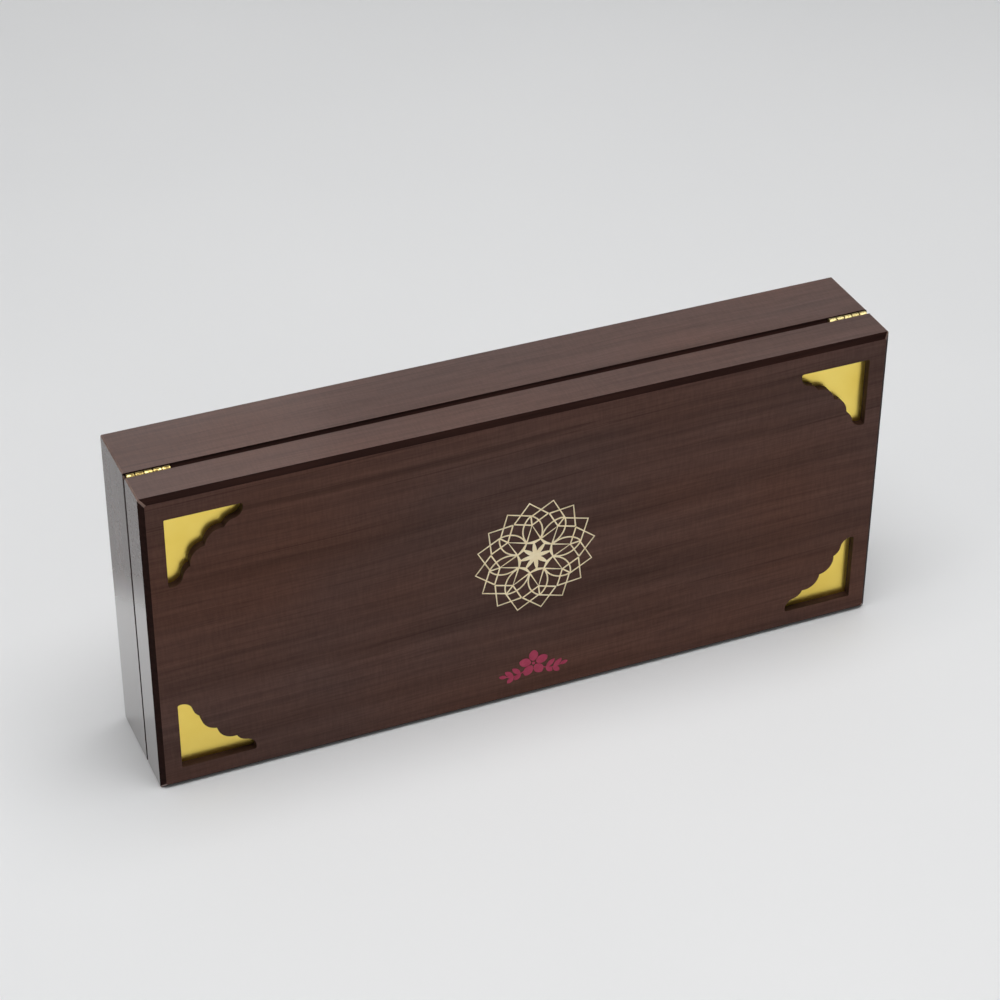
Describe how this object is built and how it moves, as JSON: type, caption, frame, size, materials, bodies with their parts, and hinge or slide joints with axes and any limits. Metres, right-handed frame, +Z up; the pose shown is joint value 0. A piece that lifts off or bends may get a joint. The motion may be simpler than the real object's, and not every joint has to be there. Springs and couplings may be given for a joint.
{
  "type": "hinged presentation case",
  "caption": "Shallow rectangular wooden presentation case that stands on its long edge, with a top-hinged lid, scalloped corner windows over gold plates, an inlaid rosette and a padded lining.",
  "frame": {"origin": "under the middle of the closed case, on the surface that it stands on", "axes": "+X along the case's length, to the right seen from the lid's face; -Y out of the lid's decorated face and +Y out of the base's back; +Z up, towards the hinged edge"},
  "size_m": [0.46, 0.0732, 0.2003],
  "materials": {
    "lacquered_walnut": "dark walnut veneer under clear gloss lacquer",
    "corner_gold": "satin gold-toned plate",
    "hinge_brass": "polished brass",
    "rosette_metal": "pale champagne-gold metal transfer",
    "motif_pink": "rose-pink coloured metal transfer",
    "lining": "deep red velvet",
    "magnet": "nickel-plated"
  },
  "bodies": {
    "base": {"base_wall_top": "lacquered_walnut", "base_wall_bottom": "lacquered_walnut", "base_wall_left": "lacquered_walnut", "base_wall_right": "lacquered_walnut", "base_back_panel": "lacquered_walnut", "base_liner_top": "lining", "base_liner_bottom": "lining", "base_liner_left": "lining", "base_liner_right": "lining", "base_pad": "lining", "hinge_left_base_leaf": "hinge_brass", "hinge_right_base_leaf": "hinge_brass", "hinge_left_pin": "hinge_brass", "hinge_right_pin": "hinge_brass", "screw_base_left_a": "hinge_brass", "screw_base_left_b": "hinge_brass", "screw_base_right_a": "hinge_brass", "screw_base_right_b": "hinge_brass", "magnet_base_left": "magnet", "magnet_base_right": "magnet"},
    "lid": {"lid_wall_top": "lacquered_walnut", "lid_wall_bottom": "lacquered_walnut", "lid_wall_left": "lacquered_walnut", "lid_wall_right": "lacquered_walnut", "lid_face_board": "lacquered_walnut", "corner_plate_top_left": "corner_gold", "corner_plate_top_right": "corner_gold", "corner_plate_bottom_left": "corner_gold", "corner_plate_bottom_right": "corner_gold", "lid_liner_top": "lining", "lid_liner_bottom": "lining", "lid_liner_left": "lining", "lid_liner_right": "lining", "lid_pad": "lining", "rosette": "rosette_metal", "blossom_motif": "motif_pink", "hinge_left_lid_leaf": "hinge_brass", "hinge_right_lid_leaf": "hinge_brass", "screw_lid_left_a": "hinge_brass", "screw_lid_left_b": "hinge_brass", "screw_lid_right_a": "hinge_brass", "screw_lid_right_b": "hinge_brass", "magnet_lid_left": "magnet", "magnet_lid_right": "magnet"}
  },
  "joints": [
    {"name": "lid_hinge", "type": "hinge", "parent": "base", "child": "lid", "pos_m": [0, -0.0084, 0.1983], "axis": [-1, 0, 0], "range_deg": [0, 108]}
  ]
}
